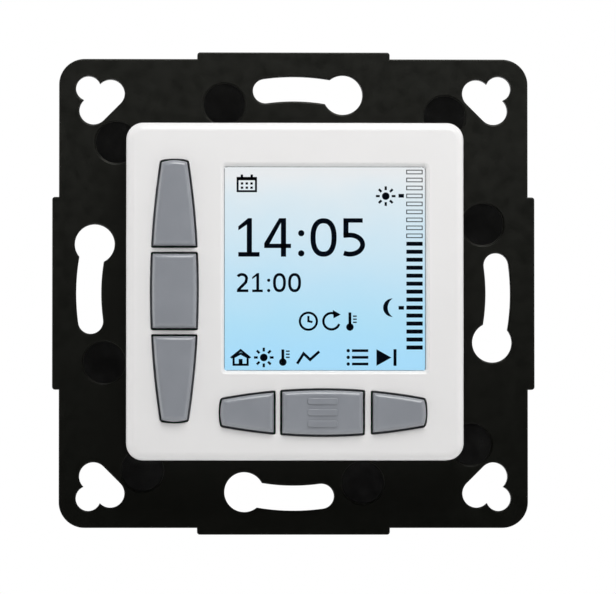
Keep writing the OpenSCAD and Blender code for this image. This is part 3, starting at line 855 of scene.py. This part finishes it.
def make_plate(look, recess_look):
    """The black mounting plate, with the well that takes the front unit."""
    shell = Shell()
    front_y = PLATE_LOW[1]
    edge = plate_outline()
    outside = shell.face_edge(lambda inset: inset_outline(edge, inset), front_y, PLATE_EDGE_R)
    outside += [shell.ring(inset_outline(edge, inset), rise - PLATE_BACK_EDGE_R)
                for inset, rise in quarter_round(PLATE_BACK_EDGE_R, 3)]
    shell.walls(outside)
    front_holes, back_holes = [], []
    for turn in QUARTER_TURNS:
        for outline in (keyhole_outline(), clover_outline()):
            front, back = cut_through(shell, turned(outline, turn), front_y)
            front_holes.append(front)
            back_holes.append(back)
        for place in SINK_MARK_PLACES:
            front_holes.append(sink_mark(shell, turned([place], turn)[0], front_y))
    mouth, seat = make_well(shell, front_y)
    shell.flat(outside[0], *front_holes, mouth)
    shell.flat(outside[-1], *back_holes, seat)
    plate = shell.piece("plate", look)
    plate.data.materials.append(recess_look)
    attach(plate, "base_unit")
    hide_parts("mounting_plate")


def make_well(shell, front_y):
    """The well inside and outside; returns its mouth in the front face and its seat in the rear face."""
    boss_y = PLATE_HIGH[1]
    mouth = ((0.25, front_y), (0.1, front_y + 0.05), (0, front_y + 0.25), (0, WELL_FLOOR_Y))
    inside = [shell.ring(housing_outline(grow - WELL_INSET), y) for grow, y in mouth]
    shell.walls(inside)
    seat = [shell.ring(housing_outline(0.1), y) for y in (0, SEAT_Y)]
    shell.walls(seat)
    back = ((0, SEAT_Y), (0, WELL_BACK_Y - 0.2), (-0.06, WELL_BACK_Y - 0.06), (-0.2, WELL_BACK_Y))
    outside = [shell.ring(housing_outline(grow - WELL_OUTSIDE_INSET), y) for grow, y in back]
    shell.walls(outside)
    shell.flat(seat[-1], outside[0])
    slot_outline = rounded_rect(HEADER_PLACE, *HEADER_SLOT, 0.3, 4)
    slot = [shell.ring(slot_outline, y) for y in (WELL_FLOOR_Y, WELL_BACK_Y)]
    shell.walls(slot)
    floor_holes, back_holes = [slot[0]], [slot[1]]
    for sx in (-1, 1):
        for sz in (-1, 1):
            place = (sx * SCREW_OFFSET, sz * SCREW_OFFSET)
            floor_ring, boss_ring = screw_hole(shell, place, boss_y)
            boss_profile = ((BOSS_R, WELL_BACK_Y), (BOSS_R, boss_y - 0.12), (BOSS_R - 0.12, boss_y))
            boss = [shell.ring(circle(place, r, 40), y) for r, y in boss_profile]
            shell.walls(boss)
            shell.flat(boss[-1], boss_ring)
            floor_holes.append(floor_ring)
            back_holes.append(boss[0])
    shell.flat(inside[-1], *floor_holes)
    shell.flat(outside[-1], *back_holes)
    return inside[0], seat[0]


def crown_y(points, shape):
    """The depth of a key's top at each point: it curves across the key's width."""
    across = 0 if shape.upright else 1
    reach = points[:, across] - shape.middle[across]
    return KEY_TOP_Y + CROWN_R - np.sqrt(CROWN_R ** 2 - reach ** 2)


def key_rings(shell, shape):
    """A key's skin from the middle of its top out to its side."""
    middle = shape.middle
    rim = shape.outline(KEY_GAP + KEY_EDGE_R)
    rings = []
    for scale in (0.06, 0.2, 0.4, 0.6, 0.8, 0.95):
        points = middle + (rim - middle) * scale
        rings.append(shell.ring(points, crown_y(points, shape)))
    for inset, rise in reversed(quarter_round(KEY_EDGE_R, 6)):
        y = crown_y(rim, shape) + KEY_EDGE_R - rise
        rings.append(shell.ring(shape.outline(KEY_GAP + inset), y))
    return rings


def make_key(name, shape, look):
    shell = Shell()
    end_y = node_box(name)[1][1]
    stem_place = STEM_PLACES[name]
    flange_front = INNER_FACE_Y + 0.1
    flange_back = flange_front + FLANGE_THICK
    flange = flange_outline(shape)
    stem = np.array(stem_place) + STEM_R * np.stack([np.cos(shape.angles), np.sin(shape.angles)], axis=1)
    hidden = ((shape.outline(KEY_GAP), flange_front), (flange, flange_front), (flange, flange_back),
              (stem, flange_back), (stem, end_y))
    rings = key_rings(shell, shape)
    rings += [shell.ring(outline, y) for outline, y in hidden]
    shell.walls(rings)
    shell.fan(rings[0], shape.middle[0], KEY_TOP_Y, shape.middle[1])
    shell.fan(rings[-1], stem_place[0], end_y, stem_place[1])
    key = shell.piece(name + "_cap", look)
    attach(key, name)
    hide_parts(name)


def flange_outline(shape):
    """The flange grows only sideways, out under the cover."""
    inner = shape.outline(KEY_GAP)
    across = 0 if shape.upright else 1
    flange = inner.copy()
    side = np.clip((inner[:, across] - shape.middle[across]) / (shape.half_w * 0.6), -1, 1)
    flange[:, across] += FLANGE_REACH * side
    return flange


def make_key_mark(look):
    """The menu key's raised mark: three bars."""
    shell = Shell()
    front_y = KEY_TOP_Y - MARK_RISE
    x, z = STEM_PLACES["key_row_middle"]
    w, h = MARK_BAR
    for row in (-1, 0, 1):
        centre = (x, z + row * MARK_PITCH)
        rings = [shell.ring(rounded_rect(centre, w, h, MARK_BAR_R, 5), KEY_TOP_Y + 0.3)]
        for inset, rise in quarter_round(MARK_EDGE_R, 4):
            outline = rounded_rect(centre, w - 2 * inset, h - 2 * inset, MARK_BAR_R - inset, 5)
            rings.append(shell.ring(outline, front_y + MARK_EDGE_R - rise))
        shell.walls(rings)
        shell.flat(rings[-1])
        shell.flat(rings[0])
    mark = shell.piece("menu_key_mark", look)
    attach(mark, "key_row_middle")


# ---- The display ----

MARK_FRONT_Y = CELL_LOW[1] - 0.035
MARK_BACK_Y = CELL_LOW[1] + 0.02


def corners(x_from, x_to, z_from, z_to):
    return [(x_from, z_from), (x_to, z_from), (x_to, z_to), (x_from, z_to)]


class Marks(Shell):
    """Thin dark shapes on the display."""

    def line(self, path, width):
        left, right = side_lines(path, width, False)
        self.prism(np.concatenate([left, right[::-1]]), MARK_FRONT_Y, MARK_BACK_Y)

    def loop(self, path, width):
        left, right = side_lines(path, width, True)
        rings = [[self.ring(side, y) for y in (MARK_FRONT_Y, MARK_BACK_Y)] for side in (left, right)]
        (a_front, a_back), (b_front, b_back) = rings
        self.wall(a_front, a_back)
        self.wall(b_front, b_back)
        self.wall(a_front, b_front)
        self.wall(a_back, b_back)

    def area(self, outline):
        self.prism(np.array(outline, float), MARK_FRONT_Y, MARK_BACK_Y)

    def disc(self, x, z, r):
        self.area(circle((x, z), r, 28))

    def bar(self, x_from, x_to, z_from, z_to):
        self.area(corners(x_from, x_to, z_from, z_to))


def oval(centre, rx, rz, power=2.35, steps=48):
    """A closed, slightly squared oval."""
    points = []
    for a in np.arange(steps) / steps * FULL_TURN:
        c, s = math.cos(a), math.sin(a)
        points.append((centre[0] + rx * math.copysign(abs(c) ** (2 / power), c),
                       centre[1] + rz * math.copysign(abs(s) ** (2 / power), s)))
    return points


def digit_zero(marks, x, z, w, h, t):
    marks.loop(oval((x + w / 2, z + h / 2), (w - t) / 2, (h - t) / 2), t)


def digit_one(marks, x, z, w, h, t):
    stem = x + w * 0.52
    marks.area([(stem - t / 2, z + t * 0.5), (stem + t / 2, z + t * 0.5), (stem + t / 2, z + h),
                (stem - t * 0.25, z + h), (x, z + h * 0.79), (x, z + h * 0.68),
                (stem - t / 2, z + h * 0.83)])
    marks.bar(x, x + w, z, z + t * 0.88)


def digit_two(marks, x, z, w, h, t):
    bowl = arc((x + w * 0.44, z + h * 0.72), w * 0.43 - t * 0.1, h * 0.28 - t / 2, 152, -8, 16)
    marks.line(bowl + [(x + w * 0.78, z + h * 0.52), (x + t * 0.45, z + t * 0.75)], t)
    marks.bar(x, x + w, z, z + t * 0.95)


def digit_four(marks, x, z, w, h, t):
    stem = x + w * 0.72
    bar_z = z + h * 0.28
    marks.bar(stem - t / 2, stem + t / 2, z, z + h)
    marks.bar(x, x + w, bar_z - t * 0.42, bar_z + t * 0.42)
    marks.area([(x, bar_z - t * 0.1), (x + t * 0.95, bar_z + t * 0.2), (stem - t * 0.3, z + h * 0.93),
                (stem, z + h), (stem - t * 0.85, z + h), (x, bar_z + t * 0.5)])


def digit_five(marks, x, z, w, h, t):
    stem = x + w * 0.12 + t / 2
    marks.bar(stem - t / 2, x + w * 0.9, z + h - t * 0.85, z + h)
    marks.bar(stem - t / 2, stem + t / 2, z + h * 0.52, z + h - t * 0.5)
    bowl_centre = (x + w * 0.38, z + h * 0.315)
    bowl = arc(bowl_centre, w * 0.62 - t / 2, h * 0.315 - t / 2, 92, -118, 24)
    marks.line([(stem - t * 0.5, bowl[0][1] - t * 0.08)] + bowl, t * 0.95)


def colon(marks, x, z_low, z_high, r):
    marks.disc(x, z_low, r)
    marks.disc(x, z_high, r)


def draw_times(marks):
    """The clock's time and, below it, the time of the next switching."""
    z, h, t = 5.13, 5.66, 0.76
    digit_one(marks, -8.3, z, 3.13, h, t)
    digit_four(marks, -4.5, z, 3.95, h, t)
    colon(marks, 0.95, 5.62, 8.58, 0.46)
    digit_zero(marks, 2.3, z, 3.85, h, t)
    digit_five(marks, 6.7, z, 3.65, h, t)
    z, h, t = -0.08, 2.8, 0.42
    digit_two(marks, -8.5, z, 1.68, h, t)
    digit_one(marks, -6.25, z, 1.55, h, t)
    colon(marks, -3.83, 0.16, 1.66, 0.24)
    digit_zero(marks, -3.2, z, 1.9, h, t)
    digit_zero(marks, -0.98, z, 1.9, h, t)


def draw_sun(marks, x, z):
    rays, ray_from, ray_to = 8, 0.88, 1.44
    marks.disc(x, z, 0.56)
    for i in range(rays):
        a = i / rays * FULL_TURN
        c, s = math.cos(a), math.sin(a)
        marks.line([(x + ray_from * c, z + ray_from * s), (x + ray_to * c, z + ray_to * s)], 0.34)


def draw_moon(marks, x, z):
    outer = arc((x + 1.4, z), 1.4, 1.36, 90, 270, 30)
    inner = arc((x + 2.3, z), 1.62, 1.62, 236.5, 123.5, 24)
    marks.area(outer + inner)


def draw_scale(marks):
    """The temperature scale at the right: outlined steps above, filled steps below."""
    steps, outlined, top_z, pitch = 23, 9, 17.6, 1.173
    for i in range(steps):
        z = top_z - i * pitch
        if i < outlined:
            marks.loop(corners(16.45, 18.73, z - 0.27, z + 0.27), 0.13)
        else:
            marks.bar(16.4, 18.8, z - 0.3, z + 0.3)


def draw_calendar(marks, x, z):
    """Stands where the day is shown."""
    marks.loop(corners(x + 0.15, x + 2.85, z + 0.15, z + 2.0), 0.3)
    marks.bar(x, x + 3.0, z + 1.75, z + 2.25)
    marks.bar(x + 0.6, x + 0.95, z + 2.1, z + 2.6)
    marks.bar(x + 2.05, x + 2.4, z + 2.1, z + 2.6)
    for i in range(3):
        day = x + 0.62 + i * 0.7
        marks.bar(day, day + 0.36, z + 1.12, z + 1.45)
        marks.bar(day, day + 0.36, z + 0.5, z + 0.83)


def draw_clock(marks, x, z, r):
    marks.loop(oval((x, z), r, r, 2, 36), 0.34)
    marks.line([(x, z + r * 0.62), (x, z), (x + r * 0.48, z - r * 0.1)], 0.32)


def draw_loop_arrow(marks, x, z, r):
    """An arrow that goes round: the programme runs by itself."""
    marks.line(arc((x, z), r, r, 60, 340, 28), 0.36)
    tip = arc((x, z), r, r, 60, 60, 1)[0]
    head = ((-0.42, 0.62), (0.75, -0.05), (-0.3, -0.62))
    marks.area([(tip[0] + dx, tip[1] + dz) for dx, dz in head])


def draw_thermometer(marks, x, z, h):
    marks.disc(x, z + 0.55, 0.55)
    marks.line([(x, z + 0.5), (x, z + h - 0.1)], 0.42)
    for i in range(3):
        marks.bar(x + 0.45, x + 1.0, z + 1.15 + i * 0.45, z + 1.35 + i * 0.45)


def draw_house(marks, x, z, w, h):
    marks.area([(x - 0.2, z + h * 0.5), (x + w / 2, z + h), (x + w + 0.2, z + h * 0.5),
                (x + w - 0.05, z + h * 0.42), (x + w / 2, z + h * 0.82), (x + 0.05, z + h * 0.42)])
    marks.loop([(x + 0.32, z + 0.15), (x + w - 0.32, z + 0.15), (x + w - 0.32, z + h * 0.5),
                (x + w / 2, z + h * 0.72), (x + 0.32, z + h * 0.5)], 0.32)
    marks.bar(x + w / 2 - 0.28, x + w / 2 + 0.28, z + 0.2, z + h * 0.4)


def draw_list(marks, x, z, w, h):
    for i in range(3):
        row = z + 0.22 + i * (h - 0.44) / 2
        marks.disc(x + 0.25, row, 0.25)
        marks.bar(x + 0.8, x + w, row - 0.2, row + 0.2)


def draw_signs(marks):
    """Plain signs that stand where the display's words are."""
    draw_calendar(marks, -8.55, 14.6)
    draw_clock(marks, 2.0, -4.35, 1.25)
    draw_loop_arrow(marks, 5.4, -4.35, 1.2)
    draw_thermometer(marks, 8.1, -5.75, 2.8)
    draw_house(marks, -9.3, -10.9, 2.7, 2.5)
    draw_sun(marks, -4.55, -9.68)
    draw_thermometer(marks, -1.75, -10.9, 2.5)
    marks.line([(0.35, -10.6), (1.3, -9.1), (2.25, -10.0), (3.6, -8.8)], 0.4)
    draw_list(marks, 7.6, -10.85, 3.2, 2.4)
    marks.area([(12.0, -10.9), (14.2, -9.68), (12.0, -8.45)])
    marks.bar(14.5, 14.95, -10.9, -8.45)


def draw_pointers(marks):
    marks.bar(15.25, 16.05, 13.83, 14.38)
    marks.bar(15.25, 16.05, -2.64, -2.1)


def make_display_marks(look):
    marks = Marks()
    draw_times(marks)
    draw_sun(marks, 13.37, 14.05)
    draw_moon(marks, 12.98, -2.35)
    draw_scale(marks)
    draw_pointers(marks)
    draw_signs(marks)
    piece = marks.piece("display_marks", look, smooth=False)
    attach(piece, "front_unit")


def make_cell(look):
    """The display's cell: a front glass, and behind it a taller rear glass."""
    centre = node_middle("lcd_cell")
    w = CELL_HIGH[0] - CELL_LOW[0]
    h = CELL_HIGH[2] - CELL_LOW[2]
    ledge = 2.2
    glass_t, glass_corner_r, film_t = 0.68, 0.15, 0.02
    shell = Shell()
    front = rounded_rect((centre[0], centre[1] - ledge / 2), w, h - ledge, glass_corner_r, 3)
    rear = rounded_rect(centre, w, h, glass_corner_r, 3)
    shell.prism(front, CELL_LOW[1], CELL_LOW[1] + glass_t)
    shell.prism(rear, CELL_LOW[1] + glass_t + film_t, CELL_HIGH[1])
    cell = shell.piece("display_cell", look, smooth=False)
    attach(cell, "front_unit")
    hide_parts("lcd_cell")


# ---- Camera, light and floor ----

CAMERA_PLACE = Vector((-0.024, -1.0022, -0.033))
CAMERA_AIM = Vector((2.14, -2.2, -0.547)) * MM


def add_facing(obj, place, aim):
    obj.location = place
    obj.rotation_mode = "QUATERNION"
    obj.rotation_quaternion = (Vector(aim) - Vector(place)).to_track_quat("-Z", "Y")
    bpy.context.scene.collection.objects.link(obj)


def make_camera():
    data = bpy.data.cameras.new("camera")
    data.sensor_width = 36
    data.lens = 395.3
    data.clip_start = 0.05
    data.clip_end = 20
    camera = bpy.data.objects.new("camera", data)
    add_facing(camera, CAMERA_PLACE, CAMERA_AIM)
    bpy.context.scene.camera = camera


def make_world():
    """White behind the object and softer grey all round it."""
    world = bpy.data.worlds.new("studio")
    bpy.context.scene.world = world
    world.use_nodes = True
    nodes, links = world.node_tree.nodes, world.node_tree.links
    nodes.clear()
    output = nodes.new("ShaderNodeOutputWorld")
    background = nodes.new("ShaderNodeBackground")
    place = nodes.new("ShaderNodeTexCoord")
    split = nodes.new("ShaderNodeSeparateXYZ")
    links.new(place.outputs["Generated"], split.inputs["Vector"])
    ahead = remap(nodes, links, split.outputs["Y"], 0, 1, -1, 1)
    stops = [(0.3, (0.08, 0.08, 0.085)), (0.45, (1, 1, 1))]
    links.new(colour_ramp(nodes, links, ahead, stops), background.inputs["Color"])
    background.inputs["Strength"].default_value = 1.0
    links.new(background.outputs["Background"], output.inputs["Surface"])


def add_area_light(name, place, aim, size, power):
    data = bpy.data.lights.new(name, "AREA")
    data.shape = "SQUARE"
    data.size = size
    data.energy = power
    add_facing(bpy.data.objects.new(name, data), place, aim)


def make_lights():
    add_area_light("key light", (0.04, -0.19, 0.22), (0, 0, 0.01), 0.16, 0.67)
    add_area_light("right fill", (0.7, -0.5, 0.1), (0, 0, 0), 0.5, 0.9)
    add_area_light("left fill", (-0.5, -0.1, 0.0), (0, 0, 0), 0.4, 0.6)


def make_floor():
    material, nodes, links, shader = new_material("floor")
    place = object_place(nodes)
    slow = noise(nodes, links, place, 3, 3)
    factor = remap(nodes, links, slow, 0, 1)
    links.new(blend_colours(nodes, links, factor, (0.9, 0.9, 0.9), (0.93, 0.93, 0.93)),
              shader.inputs["Base Color"])
    links.new(remap(nodes, links, slow, 0.55, 0.65), shader.inputs["Roughness"])
    bm = bmesh.new()
    bmesh.ops.create_circle(bm, cap_ends=True, segments=96, radius=1.5)
    mesh = bpy.data.meshes.new("floor")
    bm.to_mesh(mesh)
    bm.free()
    mesh.materials.append(material)
    floor = bpy.data.objects.new("floor", mesh)
    floor.location = (0, 0, -0.12)
    bpy.context.scene.collection.objects.link(floor)


def set_colour_view():
    scene = bpy.context.scene
    scene.view_settings.view_transform = "Standard"
    scene.view_settings.look = "None"


def build():
    looks = make_looks()
    ink = surface("display_ink", (0.0008, 0.0025, 0.006), 0.6, specular=0, vary=0.1)
    recess_floor = surface("recess_floor", (0.0035, 0.0035, 0.0032), 0.2, specular=0.2, vary=0.3)
    shapes = make_key_shapes()
    make_plate(looks["plate_plastic"], recess_floor)
    make_cover(shapes, looks["cover_white"])
    for name, shape in shapes.items():
        make_key(name, shape, looks["key_grey"])
    make_key_mark(looks["key_grey"])
    make_cell(looks["display_blue"])
    make_display_marks(ink)
    dress_cad_nodes(looks)
    make_camera()
    make_world()
    make_lights()
    make_floor()
    set_colour_view()
    bpy.context.view_layer.update()


build()
